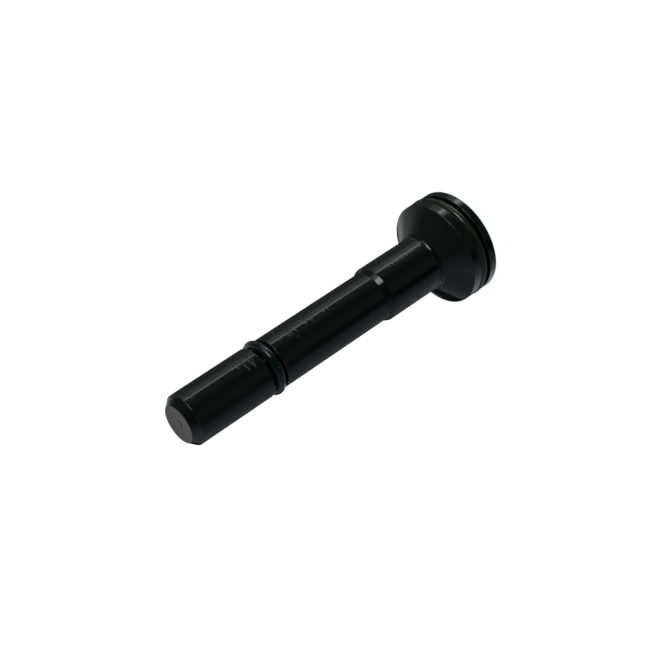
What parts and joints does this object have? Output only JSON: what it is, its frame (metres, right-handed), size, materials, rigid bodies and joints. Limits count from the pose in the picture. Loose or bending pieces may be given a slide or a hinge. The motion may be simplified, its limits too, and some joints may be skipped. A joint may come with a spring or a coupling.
{
  "type": "quick change lock piston",
  "caption": "Turned black steel lock piston with a grooved head, a cone, a raised lock land with a ramp, and O-rings at head and nose.",
  "frame": {"origin": "centre of the flat back of the head, on the piston's axis", "axes": "+Z along the piston's axis, from the back of the head to the nose; X and Y are any pair square to it"},
  "size_m": [0.0252, 0.0252, 0.0824],
  "materials": {
    "black_steel": "black-oxide steel, finely turned, satin gloss",
    "nitrile": "black nitrile rubber, lightly greased"
  },
  "bodies": {
    "piston": {"piston": "black_steel"},
    "head_ring": {"head_o_ring": "nitrile"},
    "nose_ring": {"nose_o_ring": "nitrile"}
  },
  "joints": [
    {"name": "head_ring_float", "type": "slide", "parent": "piston", "child": "head_ring", "axis": [0, 0, 1], "range_m": [-0.0004, 0.0001]},
    {"name": "nose_ring_float", "type": "slide", "parent": "piston", "child": "nose_ring", "axis": [0, 0, 1], "range_m": [-0.0005, 0.0009]}
  ]
}
